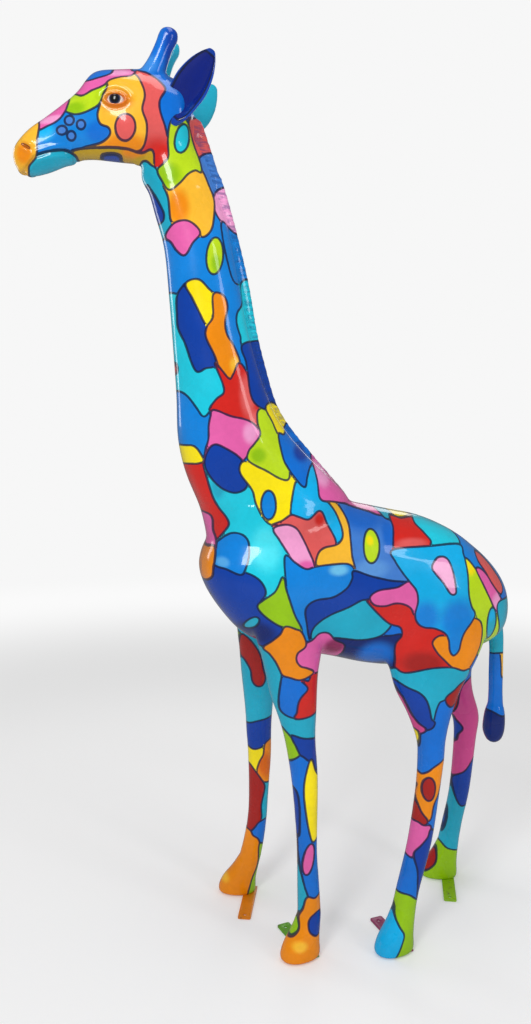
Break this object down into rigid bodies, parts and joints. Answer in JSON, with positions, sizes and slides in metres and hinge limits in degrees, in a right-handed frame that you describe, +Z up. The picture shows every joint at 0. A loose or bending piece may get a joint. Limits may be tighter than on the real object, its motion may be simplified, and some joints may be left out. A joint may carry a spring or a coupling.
{
  "type": "painted giraffe statue",
  "caption": "Hollow glass-fibre giraffe statue standing on four legs, painted in bright gloss patches, with steel anchor tabs at the hooves.",
  "frame": {"origin": "on the ground, centred under the statue", "axes": "+Z up, -Y the way the giraffe looks, +X its left side"},
  "size_m": [0.4971, 1.44, 2.5621],
  "materials": {
    "skin_body": "hand-painted gloss enamel under clear coat",
    "skin_neck": "hand-painted gloss enamel under clear coat",
    "skin_head": "hand-painted gloss enamel under clear coat",
    "skin_leg": "hand-painted gloss enamel under clear coat",
    "mane": "hand-painted gloss enamel under clear coat",
    "tail": "hand-painted gloss enamel under clear coat",
    "horn": "hand-painted gloss enamel under clear coat",
    "ear": "hand-painted gloss enamel under clear coat",
    "hoof": "hand-painted gloss enamel under clear coat",
    "eye": "painted gloss, black pupil on white",
    "tab": "gloss enamel over steel flat bar",
    "bar": "plain round steel bar with mill scale"
  },
  "bodies": {
    "root": {"ear_left": "ear", "ear_right": "ear", "eye_left": "eye", "eye_right": "eye", "front_left_leg_shell": "skin_leg", "front_right_leg_shell": "skin_leg", "head_left_shell": "skin_head", "head_right_shell": "skin_head", "hip_bar": "bar", "hoof_front_left": "hoof", "hoof_front_right": "hoof", "hoof_rear_left": "hoof", "hoof_rear_right": "hoof", "horn_left": "horn", "horn_right": "horn", "mane_ridge": "mane", "neck_bar": "bar", "neck_left_shell": "skin_neck", "neck_right_shell": "skin_neck", "post_front_left": "bar", "post_front_right": "bar", "post_rear_left": "bar", "post_rear_right": "bar", "rear_left_leg_shell": "skin_leg", "rear_right_leg_shell": "skin_leg", "shoulder_bar": "bar", "spine_bar": "bar", "tab_front_left": "tab", "tab_front_right": "tab", "tab_rear_left": "tab", "tab_rear_right": "tab", "tail_stem": "tail", "tail_tuft": "tail", "torso_left_shell": "skin_body", "torso_right_shell": "skin_body"}
  },
  "joints": []
}
